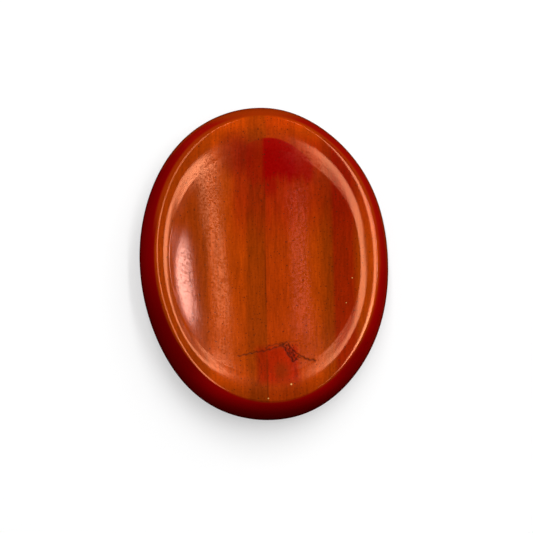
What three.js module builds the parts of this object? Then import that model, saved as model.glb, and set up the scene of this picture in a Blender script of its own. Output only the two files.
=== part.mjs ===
// A polished red jasper worry stone: one oval piece of stone with a thumb dish ground into its top.
// Units are millimetres. +Z is up, +Y is the long way, and the origin is the middle of the spot it rests on.

import * as THREE from 'three';

// Overall size
const LENGTH = 45;
const WIDTH = 35.3;
const THICKNESS = 7.6;

// Underside: a small flat spot, then a shallow dome that turns up into the girdle, the widest line
const FLAT_LENGTH = 17;
const FLAT_WIDTH = 13;
const GIRDLE_HEIGHT = 3.8;

// Wall: it leans in from the girdle to the crest, a crisp edge that it meets at this slope in degrees
const CREST_LENGTH = 40.6;
const CREST_WIDTH = 31.25;
const CREST_DROP = 0.062;
const WALL_SLOPE = 36;

// Rim: a soft bevel rises from the crest to the ridge, the highest line, and another falls to the dish
const ROLL_SLOPE = 8.7;
const RIDGE_LENGTH = 38.8;
const RIDGE_WIDTH = 29.2;

// Thumb dish: a smooth hollow that dips a little towards its far (+Y) and near ends
const DISH_LENGTH = 32.4;
const DISH_WIDTH = 26.6;
const DISH_EDGE_DROP = 0.2;
const DISH_DEPTH = 2.3;
const DISH_FAR_DIP = 0.38;
const DISH_NEAR_DIP = 0.28;

// Hand finishing leaves the crest and the dish a little off the middle, and the crest lower at +X than at -X
const CREST_TILT = 0.03;
const CREST_SHIFT = new THREE.Vector2(0.22, 0.05);
const DISH_SHIFT = new THREE.Vector2(-0.15, -0.3);

// The outline is an oval of this power, where 2 is a true ellipse and more is squarer
const OVAL_POWER = 2.05;

// Hand finishing leaves slow waves in the outline: waves per turn, height, and angle of a peak from +X
const OUTLINE_WAVES = [
  { count: 3, height: 0.08, peak: 12 },
  { count: 5, height: 0.04, peak: 18 },
  { count: 7, height: 0.04, peak: 27 },
];

// Facets round the outline, and steps along each part of the section
const SEGMENTS = 88;
const STEPS = { underside: 8, wall: 6, roll: 4, shoulder: 4, dish: 8 };

// A place on the section has a half-width, a half-length and a height, since every level is an oval
const place = (halfWidth, halfLength, height) => new THREE.Vector3(halfWidth, halfLength, height);

// One millimetre towards the middle, rising at this many degrees
const inward = (slope) => place(-1, -1, Math.tan(THREE.MathUtils.degToRad(slope)));

const along = (start, direction, amount) => start.clone().addScaledVector(direction, amount);

const bottom = place(0, 0, 0);
const flatEdge = place(FLAT_WIDTH / 2, FLAT_LENGTH / 2, 0);
const girdle = place(WIDTH / 2, LENGTH / 2, GIRDLE_HEIGHT);
const crest = place(CREST_WIDTH / 2, CREST_LENGTH / 2, THICKNESS - CREST_DROP);
const ridge = place(RIDGE_WIDTH / 2, RIDGE_LENGTH / 2, THICKNESS);
const dishEdge = place(DISH_WIDTH / 2, DISH_LENGTH / 2, THICKNESS - DISH_EDGE_DROP);
const dishFloor = place(0, 0, THICKNESS - DISH_DEPTH);
const dishDirection = place(-dishEdge.x, -dishEdge.y, 2 * (dishFloor.z - dishEdge.z));

const underside = new THREE.CubicBezierCurve3(
  flatEdge,
  flatEdge.clone().lerp(place(girdle.x, girdle.y, 0), 0.72),
  place(girdle.x, girdle.y, 0.32 * GIRDLE_HEIGHT),
  girdle,
);
const wall = new THREE.CubicBezierCurve3(
  girdle,
  place(girdle.x, girdle.y, GIRDLE_HEIGHT + 0.5 * (crest.z - GIRDLE_HEIGHT)),
  along(crest, inward(WALL_SLOPE), -1.1),
  crest,
);
const roll = new THREE.CubicBezierCurve3(
  crest,
  along(crest, inward(ROLL_SLOPE), 0.35),
  ridge.clone().lerp(place(crest.x, crest.y, THICKNESS), 0.33),
  ridge,
);
const shoulder = new THREE.CubicBezierCurve3(
  ridge,
  ridge.clone().lerp(place(dishEdge.x, dishEdge.y, THICKNESS), 0.08),
  along(dishEdge, dishDirection, -0.016),
  dishEdge,
);
const dish = new THREE.CubicBezierCurve3(
  dishEdge,
  along(dishEdge, dishDirection, 1 / 3),
  place(dishEdge.x / 3, dishEdge.y / 3, dishFloor.z),
  dishFloor,
);

// The section runs from the middle of the underside up to the crest, then over the rim to the dish's middle
const outside = [
  bottom,
  ...underside.getPoints(STEPS.underside),
  ...wall.getPoints(STEPS.wall).slice(1),
];
const inside = [
  ...roll.getPoints(STEPS.roll).slice(1),
  ...shoulder.getPoints(STEPS.shoulder).slice(1),
  ...dish.getPoints(STEPS.dish).slice(1),
];
const section = [...outside, ...inside];

// How far the outline waves push a point of the oval out, as a part of its distance from the middle
function waveAt(angle) {
  const meanRadius = (LENGTH + WIDTH) / 4;
  const push = OUTLINE_WAVES.map(({ count, height, peak }) => (
    height * Math.cos(count * (angle - THREE.MathUtils.degToRad(peak)))
  ));
  return push.reduce((sum, one) => sum + one, 0) / meanRadius;
}

const roundedPower = (value) => Math.sign(value) * Math.abs(value) ** (2 / OVAL_POWER);

const { smoothstep } = THREE.MathUtils;

// 1 on the crest, fading to 0 down the wall to the girdle and over the rim to the ridge
function crestShare(step) {
  const { x: halfWidth, z: height } = section[step];
  if (step >= outside.length) {
    return 1 - smoothstep(crest.x - halfWidth, 0, crest.x - ridge.x);
  }
  return height > GIRDLE_HEIGHT ? smoothstep(girdle.x - halfWidth, 0, girdle.x - crest.x) : 0;
}

// 1 all over the dish, fading to 0 at the ridge
function dishShare(step) {
  return step < outside.length ? 0 : smoothstep(ridge.x - section[step].x, 0, ridge.x - dishEdge.x);
}

function shiftAt(step) {
  return CREST_SHIFT.clone().multiplyScalar(crestShare(step)).addScaledVector(DISH_SHIFT, dishShare(step));
}

// How much lower a place is where the crest falls to +X, and where the dish dips towards its ends
function dipAt(step, across, lengthwise) {
  const endDip = (lengthwise > 0 ? DISH_FAR_DIP : DISH_NEAR_DIP) * lengthwise ** 2;
  const outwards = Math.min(section[step].x / dishEdge.x, 1) ** 2;
  return CREST_TILT * crestShare(step) * across + endDip * outwards * dishShare(step);
}

// A lathe turns the section into rings, and each ring is then drawn out to its oval
function stoneGeometry() {
  const turned = new THREE.LatheGeometry(section.map(({ x, z }) => new THREE.Vector2(x, z)), SEGMENTS);
  turned.rotateX(Math.PI / 2);
  const vertices = turned.attributes.position;
  for (let index = 0; index < vertices.count; index += 1) {
    const step = index % section.length;
    const turn = (2 * Math.PI * Math.floor(index / section.length)) / SEGMENTS;
    const across = roundedPower(Math.sin(turn));
    const lengthwise = -roundedPower(Math.cos(turn));
    const swell = 1 + waveAt(Math.atan2(lengthwise, across));
    const shift = shiftAt(step);
    const x = swell * section[step].x * across + shift.x;
    const y = swell * section[step].y * lengthwise + shift.y;
    vertices.setXYZ(index, x, y, section[step].z - dipAt(step, Math.sin(turn), -Math.cos(turn)));
  }
  turned.deleteAttribute('uv');
  turned.computeBoundingBox();
  const middle = turned.boundingBox.getCenter(new THREE.Vector3());
  turned.translate(-middle.x, -middle.y, 0);
  turned.computeVertexNormals();
  return turned;
}

const jasper = new THREE.MeshStandardMaterial({ color: 0x9e3204, roughness: 0.2, metalness: 0 });

const stone = new THREE.Mesh(stoneGeometry(), jasper);
stone.name = 'stone';

const worryStone = new THREE.Group();
worryStone.add(stone);

export default worryStone;
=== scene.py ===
# A polished red jasper worry stone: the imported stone's section as a fine mesh, with its bands, its healed
# crack and its gloss. Lengths are in millimetres where a comment doesn't say otherwise, and MM turns them
# into Blender's metres. +Y is the far end, -Y the near one, and +X the right side.

import math

import bpy
import numpy as np
from mathutils import Matrix, Vector


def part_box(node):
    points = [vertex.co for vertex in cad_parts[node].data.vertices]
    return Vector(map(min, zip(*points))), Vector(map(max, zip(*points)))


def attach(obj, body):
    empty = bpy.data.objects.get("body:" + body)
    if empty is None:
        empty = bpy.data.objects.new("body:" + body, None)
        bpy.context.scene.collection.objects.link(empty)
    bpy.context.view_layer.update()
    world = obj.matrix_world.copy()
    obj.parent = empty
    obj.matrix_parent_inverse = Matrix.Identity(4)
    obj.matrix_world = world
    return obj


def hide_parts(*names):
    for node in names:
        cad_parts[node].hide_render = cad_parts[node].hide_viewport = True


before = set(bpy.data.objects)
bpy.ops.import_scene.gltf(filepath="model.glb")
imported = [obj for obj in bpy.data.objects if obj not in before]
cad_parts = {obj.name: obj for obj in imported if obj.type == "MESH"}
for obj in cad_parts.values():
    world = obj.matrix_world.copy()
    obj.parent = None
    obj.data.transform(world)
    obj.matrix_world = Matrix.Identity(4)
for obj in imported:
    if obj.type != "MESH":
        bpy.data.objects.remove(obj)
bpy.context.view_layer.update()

MM = 0.001

# Overall size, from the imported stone
low_corner, high_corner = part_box("stone")
WIDTH, LENGTH, THICKNESS = ((high_corner - low_corner) / MM)[:]

# The section's driving dimensions, the same as the solid's. Slopes are in degrees.
FLAT_LENGTH = 17.0
FLAT_WIDTH = 13.0
GIRDLE_HEIGHT = 3.8
CREST_LENGTH = 40.6
CREST_WIDTH = 31.25
CREST_DROP = 0.062
CREST_SHIFT = np.array([0.22, 0.05])
CREST_TILT = 0.03
ROLL_SLOPE = 8.7
WALL_SLOPE = 36.0
RIDGE_LENGTH = 38.8
RIDGE_WIDTH = 29.2
DISH_LENGTH = 32.4
DISH_WIDTH = 26.6
DISH_EDGE_DROP = 0.2
DISH_DEPTH = 2.3
DISH_FAR_DIP = 0.38
DISH_NEAR_DIP = 0.28
DISH_SHIFT = np.array([-0.15, -0.3])

# Every level is an oval of this power, where 2 is a true ellipse and more is squarer
OVAL_POWER = 2.05

# Handles of the section's curves. The underside's are at a share of the way from the flat spot to under the
# girdle, and at a share of the girdle's height.
DOME_SHARE = 0.72
TUCK_SHARE = 0.32

# The wall's are at a share of its rise above the girdle, and a length down its slope from the crest
BULGE_SHARE = 0.5
WALL_END = 1.1

# The roll's are a length up its slope from the crest, and at a share of the way from the ridge to over it
ROLL_START = 0.35
RIDGE_SHARE = 0.33

# The shoulder's are at a share of the way from the ridge to over the dish's edge, and back from that edge
# by a share of the dish's own direction
SHOULDER_SHARE = 0.08
SHOULDER_END_SHARE = 0.016

# Slow waves left in the outline by hand finishing: waves per turn, height, and angle of a peak from +X
OUTLINE_WAVES = [(3, 0.08, 12.0), (5, 0.04, 18.0), (7, 0.04, 27.0)]

# Places worked out along each curve and on the flat spot, from which the mesh's rings are picked
CURVE_PLACES = 600
FLAT_PLACES = 50

# Mesh spacing: coarse nearly everywhere, close round the rim from a little way outside the crest, and
# finest round the healed crack
COARSE_STEP = 0.45
WALL_STEP = 0.25
RIM_STEP = 0.09
RIM_MARGIN = 0.5
FINE_STEP = 0.07

# The crack lies in this sector, in degrees from +X, on rings of these half-lengths. Turns are in degrees.
CRACK_SECTOR = (-116.0, -58.0)
CRACK_REACH = (11.6, 17.0)
COARSE_TURN = 1.5
FINE_TURN = 0.32


# Section

def place(half_width, half_length, height):
    """A place on the section. Every level is an oval, so it has a half-width and a half-length."""
    return np.array([half_width, half_length, height])


def bezier(start, first, second, end):
    """A fine run of places along one cubic curve."""
    t = np.linspace(0.0, 1.0, CURVE_PLACES)[:, None]
    s = 1.0 - t
    return s**3 * start + 3 * s**2 * t * first + 3 * s * t**2 * second + t**3 * end


def mix(a, b, share):
    return a + (b - a) * share


def inward(slope):
    """One millimetre towards the middle, rising at this many degrees."""
    return place(-1.0, -1.0, math.tan(math.radians(slope)))


bottom = place(0.0, 0.0, 0.0)
flat_edge = place(FLAT_WIDTH / 2, FLAT_LENGTH / 2, 0.0)
girdle = place(WIDTH / 2, LENGTH / 2, GIRDLE_HEIGHT)
crest = place(CREST_WIDTH / 2, CREST_LENGTH / 2, THICKNESS - CREST_DROP)
ridge = place(RIDGE_WIDTH / 2, RIDGE_LENGTH / 2, THICKNESS)
dish_edge = place(DISH_WIDTH / 2, DISH_LENGTH / 2, THICKNESS - DISH_EDGE_DROP)
dish_floor = place(0.0, 0.0, THICKNESS - DISH_DEPTH)

# The dish is a parabola, so at its edge it falls twice as steeply as from there to its middle
dish_direction = place(-dish_edge[0], -dish_edge[1], 2 * (dish_floor[2] - dish_edge[2]))


def outer_section():
    """The section from the middle of the underside up to the crest, as a fine line of places."""
    wall_rise = crest[2] - GIRDLE_HEIGHT
    flat_spot = np.linspace(bottom, flat_edge, FLAT_PLACES)
    underside = bezier(
        flat_edge,
        mix(flat_edge, place(girdle[0], girdle[1], 0.0), DOME_SHARE),
        place(girdle[0], girdle[1], TUCK_SHARE * GIRDLE_HEIGHT),
        girdle,
    )
    wall = bezier(
        girdle,
        place(girdle[0], girdle[1], GIRDLE_HEIGHT + BULGE_SHARE * wall_rise),
        crest - WALL_END * inward(WALL_SLOPE),
        crest,
    )
    return np.vstack([flat_spot, underside[1:], wall[1:]])


def inner_section():
    """The section from the crest over the ridge to the middle of the dish, as a fine line of places."""
    roll = bezier(
        crest,
        crest + ROLL_START * inward(ROLL_SLOPE),
        mix(ridge, place(crest[0], crest[1], THICKNESS), RIDGE_SHARE),
        ridge,
    )
    shoulder = bezier(
        ridge,
        mix(ridge, place(dish_edge[0], dish_edge[1], THICKNESS), SHOULDER_SHARE),
        dish_edge - SHOULDER_END_SHARE * dish_direction,
        dish_edge,
    )
    dish = bezier(
        dish_edge,
        dish_edge + dish_direction / 3,
        place(dish_edge[0] / 3, dish_edge[1] / 3, dish_floor[2]),
        dish_floor,
    )
    return np.vstack([roll, shoulder[1:], dish[1:]])


def outer_spacing(line):
    near_crest = line[:, 1] < crest[1] + RIM_MARGIN
    on_wall = line[:, 2] > GIRDLE_HEIGHT
    return np.where(on_wall, np.where(near_crest, RIM_STEP, WALL_STEP), COARSE_STEP)


def inner_spacing(line):
    start, end = CRACK_REACH
    in_reach = (line[:, 1] > start) & (line[:, 1] <= end)
    return np.where(line[:, 1] > end, RIM_STEP, np.where(in_reach, FINE_STEP, COARSE_STEP))


def rings_along(line, spacing):
    """Places along a line, as far apart as the spacing asks, with one at each end."""
    steps = np.linalg.norm(np.diff(line[:, 1:], axis=0), axis=1) / spacing(line)[1:]
    walked = np.concatenate([[0.0], np.cumsum(steps)])
    stops = np.linspace(0.0, walked[-1], math.ceil(walked[-1]) + 1)
    return np.stack([np.interp(stops, walked, line[:, axis]) for axis in range(3)], axis=1)


def turns():
    """The angles of the mesh's lines from the middle to the edge, close together in the crack's sector."""
    start, end = CRACK_SECTOR
    rest = start + 360.0 - end
    fine = np.arange(start, end, FINE_TURN)
    coarse = np.linspace(end, end + rest, round(rest / COARSE_TURN), endpoint=False)
    return np.radians(np.concatenate([fine, coarse]))


def smoothstep(value, low, high):
    t = np.clip((value - low) / (high - low), 0.0, 1.0)
    return t * t * (3.0 - 2.0 * t)


def outline_swell(angle):
    """How much further out than the plain oval the hand-finished outline is."""
    push = 0.0
    for count, height, peak in OUTLINE_WAVES:
        push = push + height * np.cos(count * (angle - math.radians(peak)))
    return 1.0 + push / ((LENGTH + WIDTH) / 4)


def rounded_power(value):
    return np.sign(value) * np.abs(value) ** (2.0 / OVAL_POWER)


def crest_share(rings, outer_count):
    """1 on the crest, fading to 0 down the wall to the girdle and over the rim to the ridge."""
    half_width = rings[:, :1]
    up_wall = smoothstep(girdle[0] - half_width, 0.0, girdle[0] - crest[0])
    up_wall[rings[:, 2] < GIRDLE_HEIGHT] = 0.0
    over_rim = smoothstep(crest[0] - half_width, 0.0, crest[0] - ridge[0])
    return np.where(np.arange(len(rings))[:, None] < outer_count, up_wall, 1.0 - over_rim)


def dish_share(rings, outer_count):
    """1 all over the dish, fading to 0 at the ridge."""
    share = smoothstep(ridge[0] - rings[:, :1], 0.0, ridge[0] - dish_edge[0])
    share[:outer_count] = 0.0
    return share


def dip(rings, angle, outer_count):
    """How much lower a place is where the crest falls to +X, and where the dish dips towards its ends."""
    crest_fall = CREST_TILT * crest_share(rings, outer_count) * np.cos(angle)
    end_dip = np.where(np.sin(angle) > 0.0, DISH_FAR_DIP, DISH_NEAR_DIP) * np.sin(angle) ** 2
    outwards = np.minimum(rings[:, :1] / dish_edge[0], 1.0) ** 2
    return crest_fall + end_dip * outwards * dish_share(rings, outer_count)


# Healed crack

# Its lines in the dish, as (x, y) places, with half the line's width, its depth and how dark it is
CRACK_LINES = [
    ([(-4.5, -13.66), (-2.97, -13.36), (-1.83, -13.14), (-0.93, -13.07), (0.14, -12.86), (1.0, -12.56),
      (1.6, -12.4)], 0.1, 0.03, 0.75),
    ([(-0.68, -12.58), (0.41, -12.27), (1.03, -12.14), (1.9, -12.05)], 0.1, 0.02, 0.65),
    ([(1.3, -12.45), (1.75, -12.4), (2.1, -12.0)], 0.2, 0.04, 0.85),
    ([(1.7, -12.4), (2.1, -12.9), (2.32, -13.6), (2.75, -14.2), (3.1, -14.78), (3.6, -14.5)],
     0.15, 0.07, 0.95),
    ([(2.3, -11.9), (2.7, -12.5), (3.15, -13.25), (3.85, -13.8), (4.35, -14.2), (5.0, -14.62),
      (6.1, -14.85)], 0.11, 0.05, 0.95),
    ([(2.5, -11.85), (3.3, -11.95), (4.2, -11.85)], 0.07, 0.02, 0.4),
    ([(2.75, -12.6), (2.45, -13.1), (2.95, -13.5), (2.6, -13.9)], 0.09, 0.05, 0.75),
    ([(3.3, -13.4), (3.0, -13.9), (3.45, -14.3), (4.1, -14.25)], 0.09, 0.05, 0.75),
    ([(-1.93, -13.82), (-1.35, -15.1), (-1.72, -16.7), (-2.21, -18.1)], 0.08, 0.0, 0.35),
    ([(3.07, -15.3), (3.42, -16.43), (3.66, -17.54), (3.65, -18.6)], 0.08, 0.0, 0.35),
]

# Small pits beside it: place, radius and depth
CRACK_PITS = [
    (2.6, -13.0, 0.2, 0.12), (2.95, -13.5, 0.2, 0.12), (2.55, -13.6, 0.18, 0.1), (3.2, -13.95, 0.24, 0.13),
    (2.9, -14.25, 0.2, 0.12), (3.4, -14.45, 0.2, 0.1), (2.3, -12.5, 0.2, 0.1), (3.75, -14.1, 0.15, 0.08),
    (3.55, -12.4, 0.1, 0.05), (4.3, -12.6, 0.09, 0.05), (1.9, -12.2, 0.22, 0.1), (3.25, -12.75, 0.12, 0.06),
]
PIT_DARKNESS = 0.75

# The crack strays this far from its lines in waves, which are in radians per millimetre along x and y
CRACK_STRAY = 0.07
STRAY_WAVES_ACROSS = (3.0, 9.0)
STRAY_WAVES_ALONG = (8.0, -4.0)

# How uneven it is: the mean and the swing of a line's depth and darkness, and the swing of a pit's radius
DEPTH_MEAN, DEPTH_SWING = 0.8, 0.4
DARK_MEAN, DARK_SWING = 0.85, 0.3
PIT_SWING = 0.35

# Two layers of bent waves make that unevenness: radians per millimetre along x and y, how many radians each
# is bent by the other way's waves, the radians per millimetre of those, and the layer's share
RIPPLES = [
    ((7.3, 8.9), (2.1, 1.7), (5.1, 6.7), 0.6),
    ((19.1, 17.3), (3.0, 2.6), (13.3, 15.1), 0.4),
]


def line_distance(x, y, points):
    """How far each place is from a line through the points."""
    nearest = np.full_like(x, np.inf)
    for (x0, y0), (x1, y1) in zip(points, points[1:]):
        run = (x1 - x0) ** 2 + (y1 - y0) ** 2
        share = np.clip(((x - x0) * (x1 - x0) + (y - y0) * (y1 - y0)) / run, 0.0, 1.0)
        nearest = np.minimum(nearest, np.hypot(x - x0 - share * (x1 - x0), y - y0 - share * (y1 - y0)))
    return nearest


def ripple(x, y):
    """An uneven value from -1 to 1 that changes every few tenths of a millimetre."""
    total = 0.0
    for pace, bend, bend_pace, share in RIPPLES:
        across = np.sin(pace[0] * x + bend[0] * np.sin(bend_pace[0] * y))
        along = np.sin(pace[1] * y + bend[1] * np.sin(bend_pace[1] * x))
        total = total + share * (across * along)
    return total


def stray(x, y, waves):
    return CRACK_STRAY * np.sin(waves[0] * x + waves[1] * y)


def crack_at(x, y):
    """The crack's depth in millimetres and its darkness from 0 to 1 at places in the dish."""
    uneven = ripple(x, y)
    near_x = x + stray(x, y, STRAY_WAVES_ACROSS)
    near_y = y + stray(x, y, STRAY_WAVES_ALONG)
    depth = np.zeros_like(x)
    dark = np.zeros_like(x)
    for points, half_width, deep, strength in CRACK_LINES:
        distance = line_distance(near_x, near_y, points)
        here = np.exp(-((distance / half_width) ** 2))
        depth = np.maximum(depth, deep * here * (DEPTH_MEAN + DEPTH_SWING * uneven))
        dark = np.maximum(dark, strength * here * (DARK_MEAN + DARK_SWING * uneven))
    for pit_x, pit_y, radius, deep in CRACK_PITS:
        distance = np.hypot(near_x - pit_x, near_y - pit_y) * (1.0 + PIT_SWING * uneven)
        here = np.clip(1.0 - (distance / radius) ** 2, 0.0, 1.0)
        depth = np.maximum(depth, deep * here)
        dark = np.maximum(dark, PIT_DARKNESS * np.sqrt(here))
    return depth, np.clip(dark, 0.0, 1.0)


# Stone

def stone_points():
    """Every ring of the section drawn out to its oval, the two middles, and the crack's darkness."""
    outer = rings_along(outer_section(), outer_spacing)[1:]
    inner = rings_along(inner_section(), inner_spacing)[1:-1]
    rings = np.vstack([outer, inner])
    angle = turns()
    across = rounded_power(np.cos(angle))
    lengthwise = rounded_power(np.sin(angle))
    swell = outline_swell(np.arctan2(lengthwise, across))
    shift = crest_share(rings, len(outer)) * CREST_SHIFT + dish_share(rings, len(outer)) * DISH_SHIFT
    x = rings[:, :1] * across * swell + shift[:, :1]
    y = rings[:, 1:2] * lengthwise * swell + shift[:, 1:]
    z = np.repeat(rings[:, 2:], len(angle), axis=1)
    middle = [(x.max() + x.min()) / 2, (y.max() + y.min()) / 2]
    x, y = x - middle[0], y - middle[1]
    depth, dark = crack_at(x, y)
    depth[:len(outer)] = 0.0
    dark[:len(outer)] = 0.0
    points = np.stack([x, y, z - depth - dip(rings, angle, len(outer))], axis=-1)
    under_middle = np.array([-middle[0], -middle[1], 0.0])
    dish_middle = np.array([DISH_SHIFT[0] - middle[0], DISH_SHIFT[1] - middle[1], dish_floor[2]])
    return points, under_middle, dish_middle, dark


def stone_faces(ring_count, turn_count):
    """Quads between the rings, and a fan of triangles at each middle."""
    faces = []
    under, top = ring_count * turn_count, ring_count * turn_count + 1
    last = (ring_count - 1) * turn_count
    for turn in range(turn_count):
        after = (turn + 1) % turn_count
        faces.append((under, after, turn))
        faces.append((top, last + turn, last + after))
        for row in range(0, last, turn_count):
            faces.append((row + turn, row + after, row + turn_count + after, row + turn_count + turn))
    return faces


def build_stone():
    points, under_middle, dish_middle, dark = stone_points()
    ring_count, turn_count = points.shape[:2]
    vertices = np.vstack([points.reshape(-1, 3), under_middle, dish_middle]) * MM
    mesh = bpy.data.meshes.new("worry_stone")
    mesh.from_pydata(vertices.tolist(), [], stone_faces(ring_count, turn_count))
    mesh.validate()
    mesh.polygons.foreach_set("use_smooth", [True] * len(mesh.polygons))
    crack = mesh.attributes.new("crack", "FLOAT", "POINT")
    crack.data.foreach_set("value", np.append(dark.reshape(-1), [0.0, 0.0]))
    mesh.update()
    stone = bpy.data.objects.new("worry_stone", mesh)
    bpy.context.scene.collection.objects.link(stone)
    triangles = sum(len(polygon.vertices) - 2 for polygon in mesh.polygons)
    print("stone mesh:", len(mesh.vertices), "vertices,", triangles, "triangles")
    return stone


# Shader nodes

# The colour sockets of a Mix node, among those for its other kinds of data
MIX_FIRST = 6
MIX_SECOND = 7
MIX_RESULT = 2


class Graph:
    """Short ways to add shader nodes and join them. An input is a socket or a plain value.

    places holds the values that zones are bounded along, by name.
    """

    def __init__(self, tree):
        self.tree = tree
        self.places = {}
        tree.nodes.clear()

    def node(self, kind, **settings):
        made = self.tree.nodes.new(kind)
        for name, value in settings.items():
            setattr(made, name, value)
        return made

    def feed(self, socket, value):
        if isinstance(value, bpy.types.NodeSocket):
            self.tree.links.new(value, socket)
        else:
            socket.default_value = value

    def math(self, operation, first, second=0.0, clamp=False):
        made = self.node("ShaderNodeMath", operation=operation, use_clamp=clamp)
        self.feed(made.inputs[0], first)
        self.feed(made.inputs[1], second)
        return made.outputs[0]

    def plus(self, first, second):
        return self.math("ADD", first, second)

    def less(self, first, second):
        return self.math("SUBTRACT", first, second)

    def times(self, *factors):
        total = factors[0]
        for factor in factors[1:]:
            total = self.math("MULTIPLY", total, factor)
        return total

    def greater(self, first, second):
        """The greater of the two."""
        return self.math("MAXIMUM", first, second)

    def without(self, share):
        """What is left of 1 when that share is lost."""
        return self.less(1.0, share)

    def smooth(self, value, low, high, start=0.0, end=1.0):
        made = self.node("ShaderNodeMapRange", interpolation_type="SMOOTHSTEP")
        self.feed(made.inputs["Value"], value)
        self.feed(made.inputs["From Min"], low)
        self.feed(made.inputs["From Max"], high)
        self.feed(made.inputs["To Min"], start)
        self.feed(made.inputs["To Max"], end)
        return made.outputs["Result"]

    def zone(self, *fades):
        """How much of the zone bounded by these fades is here."""
        return self.times(*(self.smooth(self.places[name], *fade) for name, *fade in fades))

    def oval(self, size, middle=(0.0, 0.0)):
        """1 on the oval of that (width, length) and middle, less inside it and more outside."""
        shares = []
        for name, centre, extent in zip("xy", middle, size):
            share = self.math("DIVIDE", self.less(self.places[name], centre), extent / 2)
            shares.append(self.times(share, share))
        return self.math("SQRT", self.plus(*shares))

    def spot(self, middle, size, soft):
        """1 in the middle of an oval of that size, fading to 0 at its edge over that share of it."""
        return self.smooth(self.oval(size, middle), 1.0, 1.0 - soft)

    def colours(self, amount, first, second, blend="MIX"):
        made = self.node("ShaderNodeMix", data_type="RGBA", blend_type=blend)
        self.feed(made.inputs["Factor"], amount)
        self.feed(made.inputs[MIX_FIRST], first)
        self.feed(made.inputs[MIX_SECOND], second)
        return made.outputs[MIX_RESULT]

    def shaded(self, colour, amount):
        """The colour made darker or brighter by a plain amount."""
        made = self.node("ShaderNodeVectorMath", operation="SCALE")
        self.feed(made.inputs[0], colour)
        self.feed(made.inputs["Scale"], amount)
        return made.outputs[0]

    def vector(self, x, y, z):
        made = self.node("ShaderNodeCombineXYZ")
        for socket, value in zip(made.inputs, (x, y, z)):
            self.feed(socket, value)
        return made.outputs[0]

    def noise(self, where, scale, detail, roughness):
        made = self.node("ShaderNodeTexNoise", normalize=True)
        self.feed(made.inputs["Vector"], where)
        self.feed(made.inputs["Scale"], scale)
        self.feed(made.inputs["Detail"], detail)
        self.feed(made.inputs["Roughness"], roughness)
        return made.outputs["Fac"]

    def swing(self, where, noise, reach):
        """Noise from -reach to reach."""
        return self.times(self.less(self.noise(where, *noise), 0.5), 2.0 * reach)


# Jasper

# Colours, in linear light
BROWN = (0.275, 0.032, 0.0005, 1.0)
DULL_BROWN = (0.262, 0.029, 0.0005, 1.0)
ORANGE = (0.37, 0.041, 0.0006, 1.0)
RED_ORANGE = (0.355, 0.033, 0.0006, 1.0)
BRICK = (0.252, 0.013, 0.0004, 1.0)
# The patch's deep red is partly the stone's own and partly painted shade, where the top mirrors no light
DEEP_RED_NO_SHEEN = (0.275, 0.0006, 0.0003, 1.0)
LINE_BROWN = (0.13, 0.014, 0.0006, 1.0)
# The wall's colours: its deep red with painted shade, and lit copies of it, browner, as painted light at
# the right and the far end
WALL_RED_SHADED = (0.13, 0.0004, 0.0004)
WALL_RED_LIT = (0.32, 0.005, 0.0006, 1.0)
WALL_RIGHT_LIT = (0.37, 0.028, 0.0008, 1.0)
WALL_FAR_LIT = (0.34, 0.028, 0.0008, 1.0)
CRACK_DARK = (0.02, 0.006, 0.003, 1.0)
PIT_DARK = (0.06, 0.012, 0.004, 1.0)
FLECK_PALE = (0.75, 0.42, 0.12, 1.0)
SMOKY_BROWN = (0.16, 0.02, 0.0006, 1.0)

# Noise: scale per millimetre, detail and roughness
BAND_DRIFT = (0.35, 3.0, 0.5)
BROAD_STREAKS = (1.1, 2.0, 0.5)
FINE_STREAKS = (3.4, 4.0, 0.65)
RED_STREAKS = (1.2, 3.0, 0.6)
PATCH_STREAKS = (1.4, 3.0, 0.6)
LINE_BREAKS = (0.8, 2.0, 0.5)
WALL_CLOUDS = (0.5, 3.0, 0.6)
GRAIN = (3.4, 3.0, 0.65)
TINY_BUMPS = (6.0, 2.0, 0.6)

# How those streaks and that grain shade the colour: two noise values, and the brightness at each
BROAD_SHADING = (0.3, 0.7, 0.93, 1.07)
FINE_SHADING = (0.28, 0.72, 0.84, 1.14)
GRAIN_SHADING = (0.3, 0.7, 0.9, 1.1)

# How many millimetres they move the bands and the ends of the red zones
DRIFT_REACH = 0.6
RED_REACH = 2.5
PATCH_REACH = 2.2

# The bands lean this many degrees to the right of +Y. Noise that changes at these shares of its pace along
# them and upwards is drawn out into streaks.
BAND_LEAN = 2.6
STREAK_ALONG = 0.1
STREAK_UP = 0.5

# The bands: distance from the middle, and colour
BANDS = [
    (-17.6, RED_ORANGE),
    (-13.5, BROWN),
    (-10.2, DULL_BROWN),
    (-8.4, BROWN),
    (-7.4, ORANGE),
    (-2.9, ORANGE),
    (-2.3, BROWN),
    (-0.05, BROWN),
    (0.2, RED_ORANGE),
    (4.0, RED_ORANGE),
    (7.2, ORANGE),
    (8.6, BROWN),
    (9.4, DULL_BROWN),
    (9.9, BRICK),
    (12.2, BRICK),
    (13.2, BROWN),
    (17.6, RED_ORANGE),
]

# Zones are bounded by fades. A fade names a place, where along it the zone starts and where it is full, and
# in some zones the amounts at those two instead of 0 and 1. across runs over the bands, streaky_y and
# patch_y are y with ragged ends, and the ovals are 1 on an oval, less inside it and more outside.

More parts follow.
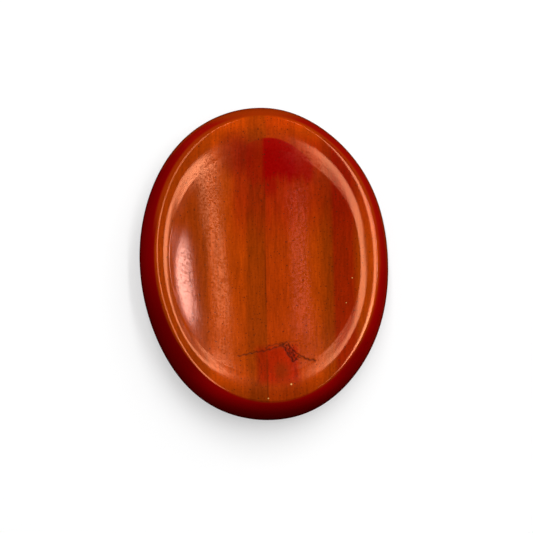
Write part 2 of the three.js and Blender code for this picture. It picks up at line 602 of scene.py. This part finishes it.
# Tints of the top, laid in this order: what the colour is multiplied by, and where
TINTS_UNDER_PATCH = {
    "far half, redder": (
        (0.9, 0.5, 0.9, 1.0),
        [("streaky_y", 0.5, 9.5), ("y", 18.2, 15.5), ("across", -5.6, -3.4)],
    ),
    "red spot by the crack": (
        (1.02, 0.44, 0.9, 1.0),
        [("y", -11.8, -13.2), ("x", -2.6, -1.4), ("x", 4.3, 3.3), ("y", -18.6, -17.0)],
    ),
    "smoky spot at the far left": ((0.72, 0.45, 0.8, 1.0), [("smoky_oval", 1.0, 0.3)]),
}
# Painted light and shade: the near rim is shaded darker and the far rim lit brighter, as by a key light at
# the far end
TINTS_OVER_PATCH = {
    "near rim, painted shade": ((0.66, 0.68, 0.7, 1.0), [("y", -16.4, -19.4)]),
    "far rim, painted light": ((1.2, 1.15, 1.2, 1.0), [("y", 17.8, 19.3)]),
    "near slope of the dish": ((0.97, 0.98, 0.9, 1.0), [("y", -10.0, -13.5), ("y", -18.0, -16.0)]),
}
TINTS_OVER_SHADOW = {
    # The outer part of the top is made brighter than the dish
    "brighter outer top": ((1.17, 1.08, 1.0, 1.0), [("middle_oval", 0.82, 1.0)]),
    "right rim": ((1.1, 1.15, 1.0, 1.0), [("x", 12.5, 14.5)]),
}

# The smoky spot and the dark shadow at the near end: middle and size, and how soft and strong the shadow is
SMOKY_MIDDLE = (-3.4, 15.2)
SMOKY_SIZE = (7.0, 9.0)
SHADOW = ((1.4, -16.2), (3.4, 4.4), 0.8)
SHADOW_STRENGTH = 0.6

# The deep red patch, partly the stone's own deeper red and partly painted shade: here the top mirrors no
# light, beside the reflected sheen elsewhere. The farthest place and the bend of its sharp arc, and the
# tongue on its near side
PATCH_ARC_TOP = (1.2, 17.3)
PATCH_ARC_BEND = 0.1
PATCH = [
    ("under_arc", -0.1, 0.12),
    ("patch_y", 10.2, 12.4),
    ("across", -0.5, 0.15, 0.4, 1.0),
    ("across", 4.8, 4.0, 0.8, 1.0),
    ("across", -2.9, -2.2),
    ("across", 7.4, 6.5),
]
TONGUE = [("across", -0.2, 0.1), ("across", 2.2, 1.4), ("y", 8.2, 10.4), ("y", 12.5, 11.5)]
TONGUE_STRENGTH = 0.65

# A thin dark line along the bands, at this distance from the middle, and broken up by noise
LINE_PLACE = 0.08
THIN_LINE = [("off_line", 0.16, 0.03), ("line_breaks", 0.35, 0.6, 0.2, 0.7), ("y", 15.0, 11.0)]

# Small dark specks and pale flecks on the top: place and radius. A mark is full up to MARK_CORE of it.
SPECKS = [
    (-0.38, -9.46, 0.13), (4.08, -10.86, 0.1), (-3.6, 10.04, 0.12), (0.72, 15.01, 0.14), (0.47, -6.77, 0.1),
    (-9.42, -4.85, 0.12), (11.99, -8.1, 0.16),
]
FLECKS = [(2.57, -18.07, 0.16), (-0.73, -19.9, 0.12), (12.05, -3.42, 0.1), (10.99, -6.92, 0.09)]
SPECK_STRENGTH = 0.75
FLECK_STRENGTH = 0.9
MARK_CORE = 0.5

# On an oval of this size the oval's measure is the distance from its middle in millimetres
UNIT_CIRCLE = (2.0, 2.0)

# Finer scattered specks: cells in a millimetre, and the largest radius. A cell has one if its random value
# is past the first limit, and it is largest at the second.
SCATTERED = [(0.95, 0.125), (2.1, 0.08)]
SCATTER_LIMITS = (0.45, 1.0)
SCATTER_EDGE = 0.05
SCATTER_STRENGTH = 0.8

# Painted light on the wall: its turn is a sum that grows by this much for each millimetre to the right and
# to the far end, towards the key light, and with clouds of noise. It turns from the shaded red to each lit
# colour between two of its values.
WALL_TURN_X = 0.055
WALL_TURN_Y = 0.03
WALL_TURN_NOISE = 0.4
WALL_CLOUD_REACH = 0.5
WALL_TO_BRIGHT = (-0.1, 0.75)
WALL_TO_RIGHT = (0.7, 1.15)

# The far end's lit colour starts at a ragged edge, and it also runs along the far part just under the crest
WALL_TO_FAR = (12.0, 20.0)
WALL_END_RAGGED = 8.0
UNDER_CREST = [("z", 6.9, 7.35), ("y", 3.0, 9.0)]

# The shaded part is paler below the crest at the near end, and it brightens along the stone towards the far
# end, as painted light
WALL_NEAR_PALE = [("z", 5.6, 7.5), ("y", -14.0, -19.0)]
WALL_PALE_STRENGTH = 0.8
WALL_LENGTHWISE = [("y", -22.2, -18.5, 0.85, 1.25), ("y", -9.0, 1.0, 1.0, 1.5)]

# A layer of deeper red runs round the wall under the crest, up to near the far end
RED_LAYER = [("z", 5.7, 6.2), ("z", 7.35, 7.0), ("y", 21.2, 19.4)]
RED_LAYER_TINT = (0.9, 0.14, 1.0, 1.0)

# Where the top gives way to the wall and the wall to the underside, whose bands show most in its middle
TOP_EDGE = ("crest_oval", 1.0, 1.02)
UNDERSIDE_EDGE = ("z", GIRDLE_HEIGHT - 0.4, GIRDLE_HEIGHT + 0.4)
UNDERSIDE_WALL = ("crest_oval", 0.3, 1.0, 0.25, 1.0)

# Gloss: its tint, and the pinker one in the right part of the dish
GLOSS = (1.0, 0.37, 0.18, 1.0)
PINK_GLOSS = (1.0, 0.23, 0.19, 1.0)
JASPER_IOR = 1.54
MIRROR_ROUGHNESS = 0.07
DISH_ROUGHER = 0.02
ENDS_ROUGHER = 0.07
CRACK_ROUGHNESS = 0.6
BUMP_HEIGHT = 0.002

# The worn part of the top, where the polish is grainy: the dish, the slopes at its ends, and its right side
WORN_SIZE = (26.9, 36.5)
IN_DISH = ("worn_oval", 1.0, 0.93)
AT_ENDS = [("from_middle_y", 4.0, 13.0), ("worn_oval", 1.08, 0.98)]
RIGHT_SIDE = [("x", 0.0, 5.0), ("worn_oval", 0.98, 0.82)]

# The polish is dull where the grain is below the wear, and it turns dull between these differences
WEAR = ("worn_oval", 0.98, 0.72, 0.42, 0.49)
WEAR_EDGE = (-0.07, 0.07)

# Shares of the gloss that are lost: where the polish is dull, all over the right side, and in the crack
GRAIN_LOSS = ("x", -11.0, -7.0, 0.7, 0.84)
RIGHT_GRAIN_LOSS = 0.93
RIGHT_LOSS = ("y", -10.0, -5.0, 0.3, 0.42)
RIGHT_FAR_LOSS = ("y", 2.5, 6.0, 0.0, 0.16)
CRACK_LOSS = 0.9

# Dull spots in the worn part: middle and size
PATCH_DULL_MIDDLE = (3.2, 13.6)
PATCH_DULL_SIZE = (12.0, 10.0)
CRACK_DULL_MIDDLE = (1.0, -14.2)
CRACK_DULL_SIZE = (17.0, 9.5)

# Other places with less gloss: the share that is lost, and where. in_gap is how far past the start of the
# dull gap beside the left shoulder a place is on the worn oval.
GAP_START = ("y", -3.0, 6.0, 0.945, 0.88)
GLOSS_LOSSES = {
    "gap beside the left shoulder": (
        0.9,
        [("in_gap", -0.04, 0.02), ("worn_oval", 0.998, 0.985), ("x", -9.5, -11.5), ("y", 8.0, 6.0)],
    ),
    "left slope, far part": (0.35, [("worn_oval", 0.975, 0.95), ("x", -9.0, -10.5), ("y", 0.0, 6.0)]),
    "left slope, near part": (0.3, [("worn_oval", 0.975, 0.95), ("x", -9.0, -10.5), ("y", -6.0, -9.5)]),
    "left of the dish, far part": (0.35, [("y", 3.0, 6.0), ("worn_oval", 0.93, 0.88), ("x", -3.0, -5.0)]),
    "whole dish": (0.5, [("worn_oval", 0.98, 0.74)]),
    "far left shoulder": (0.45, [("x", -4.0, -8.0), ("y", 7.0, 10.0), ("worn_oval", 0.98, 1.05)]),
    "far left slope": (0.75, [("x", -8.4, -9.4), ("y", 1.0, 5.5), ("worn_oval", 0.95, 0.88)]),
    "near left slope": (0.45, [("x", 0.0, -2.0), ("y", -7.0, -11.0), ("worn_oval", 0.95, 0.85)]),
    "over the red patch": (0.765, [("patch_dull_oval", 1.0, 0.5)]),
    "round the crack": (0.63, [("crack_dull_oval", 1.0, 0.5)]),
}


def name_places(g):
    """Names the values that the zones are bounded along."""
    split = g.node("ShaderNodeSeparateXYZ")
    g.feed(split.inputs[0], g.node("ShaderNodeTexCoord").outputs["Object"])
    x, y, z = (g.math("DIVIDE", split.outputs[axis], MM) for axis in range(3))
    lean = math.radians(BAND_LEAN)
    across = g.less(g.times(x, math.cos(lean)), g.times(y, math.sin(lean)))
    along = g.plus(g.times(y, math.cos(lean)), g.times(x, math.sin(lean)))
    stretched = g.vector(across, g.times(along, STREAK_ALONG), g.times(z, STREAK_UP))
    point = g.vector(x, y, z)
    arc_x, arc_y = PATCH_ARC_TOP
    beside_arc = g.less(x, arc_x)
    arc = g.less(arc_y, g.times(beside_arc, beside_arc, PATCH_ARC_BEND))

    g.places.update(x=x, y=y, z=z, across=across, stretched=stretched, point=point)
    g.places.update(
        streaky_y=g.plus(y, g.swing(stretched, RED_STREAKS, RED_REACH)),
        patch_y=g.plus(y, g.swing(stretched, PATCH_STREAKS, PATCH_REACH)),
        under_arc=g.less(arc, y),
        off_line=g.math("ABSOLUTE", g.less(across, LINE_PLACE)),
        line_breaks=g.noise(stretched, *LINE_BREAKS),
        grain=g.noise(point, *GRAIN),
        from_middle_y=g.math("ABSOLUTE", y),
        middle_oval=g.oval(WORN_SIZE),
        worn_oval=g.oval(WORN_SIZE, DISH_SHIFT.tolist()),
        crest_oval=g.oval((CREST_WIDTH, CREST_LENGTH), CREST_SHIFT.tolist()),
        smoky_oval=g.oval(SMOKY_SIZE, SMOKY_MIDDLE),
        patch_dull_oval=g.oval(PATCH_DULL_SIZE, PATCH_DULL_MIDDLE),
        crack_dull_oval=g.oval(CRACK_DULL_SIZE, CRACK_DULL_MIDDLE),
    )
    g.places["in_gap"] = g.less(g.places["worn_oval"], g.zone(GAP_START))


def banded_colour(g):
    """The colour bands, waving a little, with fine streaks along them."""
    stretched = g.places["stretched"]
    band_place = g.plus(g.places["across"], g.swing(stretched, BAND_DRIFT, DRIFT_REACH))
    ramp = g.node("ShaderNodeValToRGB")
    low, high = BANDS[0][0], BANDS[-1][0]
    elements = ramp.color_ramp.elements
    while len(elements) < len(BANDS):
        elements.new(0.5)
    for element, (distance, colour) in zip(elements, BANDS):
        element.position = (distance - low) / (high - low)
        element.color = colour
    g.feed(ramp.inputs["Fac"], g.math("DIVIDE", g.less(band_place, low), high - low, clamp=True))
    broad = g.smooth(g.noise(stretched, *BROAD_STREAKS), *BROAD_SHADING)
    fine = g.smooth(g.noise(stretched, *FINE_STREAKS), *FINE_SHADING)
    return g.shaded(ramp.outputs["Color"], g.times(broad, fine))


def marks(g, spots, strength):
    """How much of the nearest of these round marks is here."""
    amount = 0.0
    for mark_x, mark_y, radius in spots:
        away = g.oval(UNIT_CIRCLE, (mark_x, mark_y))
        amount = g.greater(amount, g.smooth(away, radius, radius * MARK_CORE, 0.0, strength))
    return amount


def scattered_specks(g, scale, radius):
    """Tiny dark pits scattered over the top, as a mask."""
    cells = g.node("ShaderNodeTexVoronoi", voronoi_dimensions="2D", feature="F1")
    g.feed(cells.inputs["Vector"], g.vector(g.places["x"], g.places["y"], 0.0))
    g.feed(cells.inputs["Scale"], scale)
    pick = g.node("ShaderNodeSeparateColor")
    g.feed(pick.inputs[0], cells.outputs["Color"])
    reach = g.smooth(pick.outputs[0], *SCATTER_LIMITS, 0.0, radius * scale)
    return g.smooth(g.less(reach, cells.outputs["Distance"]), 0.0, SCATTER_EDGE, 0.0, SCATTER_STRENGTH)


def tinted(g, colour, tints):
    """The colour with each of those tints over it, in their order."""
    for tint, fades in tints.values():
        colour = g.colours(g.zone(*fades), colour, tint, "MULTIPLY")
    return colour


def top_colour(g, bands):
    """The colour of the rim and the dish, from that of the bands, with painted light and shade: the patch
    where the top mirrors no light, a shaded near rim and a lit far rim.
    """
    # The patch: partly the stone's deeper red, partly painted shade where the top mirrors no light
    patch = g.greater(g.zone(*PATCH), g.times(g.zone(*TONGUE), TONGUE_STRENGTH))
    colour = g.colours(patch, tinted(g, bands, TINTS_UNDER_PATCH), DEEP_RED_NO_SHEEN)
    colour = tinted(g, colour, TINTS_OVER_PATCH)
    colour = g.colours(g.times(g.spot(*SHADOW), SHADOW_STRENGTH), colour, SMOKY_BROWN)
    colour = tinted(g, colour, TINTS_OVER_SHADOW)
    colour = g.colours(g.zone(*THIN_LINE), colour, LINE_BROWN)
    colour = g.shaded(colour, g.smooth(g.places["grain"], *GRAIN_SHADING))
    colour = g.colours(marks(g, SPECKS, SPECK_STRENGTH), colour, PIT_DARK)
    for scale, radius in SCATTERED:
        colour = g.colours(scattered_specks(g, scale, radius), colour, PIT_DARK)
    return g.colours(marks(g, FLECKS, FLECK_STRENGTH), colour, FLECK_PALE)


def wall_colour(g):
    """The wall's deep red with painted light and shade: shaded at the left and the near end, lit brighter
    and browner at the right and at the far end, with a red layer under the crest.
    """
    x, y = g.places["x"], g.places["y"]
    clouds = g.swing(g.places["point"], WALL_CLOUDS, WALL_CLOUD_REACH)
    # Painted light: the wall turns from its shaded red to the lit colours towards the right and the far end
    turn = g.plus(g.times(x, WALL_TURN_X), g.times(y, WALL_TURN_Y))
    turn = g.plus(turn, g.times(clouds, WALL_TURN_NOISE))
    paler = g.plus(1.0, g.times(g.zone(*WALL_NEAR_PALE), WALL_PALE_STRENGTH))
    dark = g.shaded(WALL_RED_SHADED, g.times(paler, g.zone(*WALL_LENGTHWISE)))
    wall = g.colours(g.smooth(turn, *WALL_TO_BRIGHT), dark, WALL_RED_LIT)
    wall = g.colours(g.smooth(turn, *WALL_TO_RIGHT), wall, WALL_RIGHT_LIT)
    far_end = g.smooth(g.plus(y, g.times(clouds, WALL_END_RAGGED)), *WALL_TO_FAR)
    wall = g.colours(g.greater(far_end, g.zone(*UNDER_CREST)), wall, WALL_FAR_LIT)
    return g.colours(g.zone(*RED_LAYER), wall, RED_LAYER_TINT, "MULTIPLY")


def gloss(g, shader, crack):
    """A mirror polish on the rim and the wall, and a worn, grainy one in the dish."""
    in_dish = g.zone(IN_DISH)
    at_ends = g.zone(*AT_ENDS)
    roughness = g.plus(MIRROR_ROUGHNESS, g.times(in_dish, DISH_ROUGHER))
    roughness = g.plus(roughness, g.times(at_ends, ENDS_ROUGHER))
    g.feed(shader.inputs["Roughness"], g.greater(roughness, g.times(crack, CRACK_ROUGHNESS)))
    shader.inputs["IOR"].default_value = JASPER_IOR

    bumps = g.node("ShaderNodeBump")
    g.feed(bumps.inputs["Height"], g.noise(g.places["point"], *TINY_BUMPS))
    g.feed(bumps.inputs["Distance"], BUMP_HEIGHT * MM)
    g.feed(bumps.inputs["Strength"], in_dish)
    g.feed(shader.inputs["Normal"], bumps.outputs["Normal"])

    worn = g.times(g.zone(WEAR), g.greater(in_dish, at_ends))
    dull = g.smooth(g.less(worn, g.places["grain"]), *WEAR_EDGE)
    right_side = g.zone(*RIGHT_SIDE)
    right_loss = g.plus(g.zone(RIGHT_LOSS), g.zone(RIGHT_FAR_LOSS))
    grain_loss = g.greater(g.zone(GRAIN_LOSS), g.times(right_side, RIGHT_GRAIN_LOSS))
    strength = g.times(
        g.without(g.times(right_side, right_loss)),
        g.without(g.times(dull, grain_loss)),
        g.without(g.times(crack, CRACK_LOSS)),
        *(g.without(g.times(g.zone(*fades), loss)) for loss, fades in GLOSS_LOSSES.values()),
    )
    g.feed(shader.inputs["Specular Tint"], g.shaded(g.colours(right_side, GLOSS, PINK_GLOSS), strength))


def jasper():
    material = bpy.data.materials.new("red_jasper")
    material.use_nodes = True
    g = Graph(material.node_tree)
    output = g.node("ShaderNodeOutputMaterial")
    shader = g.node("ShaderNodeBsdfPrincipled")
    g.feed(output.inputs["Surface"], shader.outputs["BSDF"])

    name_places(g)
    bands = banded_colour(g)
    wall = wall_colour(g)
    top = g.colours(g.zone(TOP_EDGE), top_colour(g, bands), wall)
    underside = g.colours(g.zone(UNDERSIDE_WALL), bands, wall)
    colour = g.colours(g.zone(UNDERSIDE_EDGE), underside, top)
    crack = g.node("ShaderNodeAttribute", attribute_name="crack").outputs["Fac"]
    g.feed(shader.inputs["Base Color"], g.colours(crack, colour, CRACK_DARK))
    gloss(g, shader, crack)
    return material


# Studio

# The camera stands high on the near left side, and the stone's far end leans this many degrees to the left
CAMERA_ELEVATION = 79.0
CAMERA_AZIMUTH = 18.6
PICTURE_LEAN = 3.31
CAMERA_DISTANCE = 300.0
CLIP_START = 10.0

# Width of what the picture shows at the stone, and how far the stone is right of and above its middle
PICTURE_WIDTH = 75.7
STONE_OFF_CENTRE = (-0.33, 0.60)

# Lamps that the gloss shows. A lamp has its degrees to the picture's right and up of where a level place
# mirrors to, its degrees wide and high, and its radiance. Lamp distances and sizes are in metres.
LAMP_DISTANCE = 0.6
LEFT_STRIP = (-12.3, 7.5, 5.0, 61.0, 10.4)
RIGHT_STRIP = (14.5, 6.0, 4.9, 60.0, 11.8)
RIGHT_WINDOW = (26.1, 5.9, 5.0, 14.0, 64.0)
RIGHT_CARD = (18.3, -9.5, 6.5, 11.0, 9.0)
WINDOW_COLOUR = (0.46, 0.62, 1.0)

# A soft lamp that lights the stone and that the gloss doesn't show
FILL_DIRECTION = Vector((0.35, 0.4, 0.85))
FILL_DISTANCE = 1.2
FILL_SIZE = (1.2, 1.2)
FILL_RADIANCE = 1.5
WORLD_COLOUR = (0.9, 0.9, 0.9, 1.0)
WORLD_STRENGTH = 0.3

# The floor's size is in metres
FLOOR_SIZE = 4.0
FLOOR_COLOUR = (0.5, 0.5, 0.5, 1.0)
FLOOR_ROUGHNESS = 0.9
FLOOR_GLOW = 0.47
WHITE = (1.0, 1.0, 1.0)


def camera_axes():
    """The camera's right, up and backward directions."""
    elevation, azimuth, lean = (math.radians(v) for v in (CAMERA_ELEVATION, CAMERA_AZIMUTH, PICTURE_LEAN))
    level = math.cos(elevation)
    back = Vector((-math.sin(azimuth) * level, -math.cos(azimuth) * level, math.sin(elevation)))
    lengthwise = Vector((0.0, 1.0, 0.0))
    far_end = (lengthwise - lengthwise.dot(back) * back).normalized()
    beside = far_end.cross(back)
    up = math.cos(lean) * far_end + math.sin(lean) * beside
    return up.cross(back), up, back


def facing(place_at, right, up, back):
    """The matrix that puts an object there, in metres, with those directions as its x, y and z axes."""
    return Matrix.Translation(place_at) @ Matrix((right, up, back)).transposed().to_4x4()


def build_camera():
    right, up, back = camera_axes()
    girdle_middle = Vector((0.0, 0.0, GIRDLE_HEIGHT))
    aim = girdle_middle - right * STONE_OFF_CENTRE[0] - up * STONE_OFF_CENTRE[1]
    eye = aim + back * CAMERA_DISTANCE
    data = bpy.data.cameras.new("camera")
    data.sensor_fit = "HORIZONTAL"
    data.angle = 2.0 * math.atan(PICTURE_WIDTH / 2.0 / CAMERA_DISTANCE)
    data.clip_start = CLIP_START * MM
    camera = bpy.data.objects.new("camera", data)
    camera.matrix_world = facing(eye * MM, right, up, back)
    bpy.context.scene.collection.objects.link(camera)
    bpy.context.scene.camera = camera


def area_light(name, direction, distance, size, radiance, colour=WHITE, glossy=True, diffuse=True):
    """A rectangular lamp of that (width, length) and radiance, in that direction from the stone."""
    data = bpy.data.lights.new(name, "AREA")
    data.shape = "RECTANGLE"
    data.size, data.size_y = size
    data.energy = radiance * math.pi * size[0] * size[1]
    data.color = colour
    lamp = bpy.data.objects.new(name, data)
    back = direction.normalized()
    lengthwise = Vector((0.0, 1.0, 0.0))
    up = (lengthwise - lengthwise.dot(back) * back).normalized()
    lamp.matrix_world = facing(back * distance, up.cross(back), up, back)
    lamp.visible_camera = False
    lamp.visible_glossy = glossy
    lamp.visible_diffuse = diffuse
    bpy.context.scene.collection.objects.link(lamp)


def mirrored(right_degrees, up_degrees):
    """Where a level place on the stone mirrors to, turned those degrees to the picture's right and up."""
    right, up, back = camera_axes()
    straight = Vector((-back.x, -back.y, back.z))
    side = (right - right.dot(straight) * straight).normalized()
    far = straight.cross(side)
    turn_right, turn_up = (math.tan(math.radians(degrees)) for degrees in (right_degrees, up_degrees))
    return (straight + side * turn_right + far * turn_up).normalized()


def degrees_wide(degrees):
    return 2.0 * LAMP_DISTANCE * math.tan(math.radians(degrees / 2.0))


def mirrored_lamp(name, lamp, **settings):
    right, up, width, height, radiance = lamp
    size = (degrees_wide(width), degrees_wide(height))
    area_light(name, mirrored(right, up), LAMP_DISTANCE, size, radiance, **settings)


def build_lights():
    mirrored_lamp("left_strip", LEFT_STRIP)
    mirrored_lamp("right_strip", RIGHT_STRIP)
    mirrored_lamp("right_window", RIGHT_WINDOW, diffuse=False, colour=WINDOW_COLOUR)
    mirrored_lamp("right_card", RIGHT_CARD, diffuse=False)
    area_light("fill", FILL_DIRECTION, FILL_DISTANCE, FILL_SIZE, FILL_RADIANCE, glossy=False)


def build_floor():
    half = FLOOR_SIZE / 2
    corners = [(-half, -half, 0), (half, -half, 0), (half, half, 0), (-half, half, 0)]
    mesh = bpy.data.meshes.new("floor")
    mesh.from_pydata(corners, [], [(0, 1, 2, 3)])
    floor = bpy.data.objects.new("floor", mesh)
    material = bpy.data.materials.new("floor")
    material.use_nodes = True
    shader = material.node_tree.nodes["Principled BSDF"]
    shader.inputs["Base Color"].default_value = FLOOR_COLOUR
    shader.inputs["Roughness"].default_value = FLOOR_ROUGHNESS
    shader.inputs["Specular IOR Level"].default_value = 0.0
    shader.inputs["Emission Color"].default_value = (*WHITE, 1.0)
    shader.inputs["Emission Strength"].default_value = FLOOR_GLOW
    mesh.materials.append(material)
    floor.visible_glossy = False
    floor.visible_diffuse = False
    bpy.context.scene.collection.objects.link(floor)


def build_world():
    world = bpy.data.worlds.new("studio")
    world.use_nodes = True
    background = world.node_tree.nodes["Background"]
    background.inputs["Color"].default_value = WORLD_COLOUR
    background.inputs["Strength"].default_value = WORLD_STRENGTH
    world.cycles_visibility.glossy = False
    bpy.context.scene.world = world


stone = build_stone()
stone.data.materials.append(jasper())
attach(stone, "root")
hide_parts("stone")

build_floor()
build_world()
build_lights()
build_camera()
bpy.context.scene.view_settings.view_transform = "Standard"
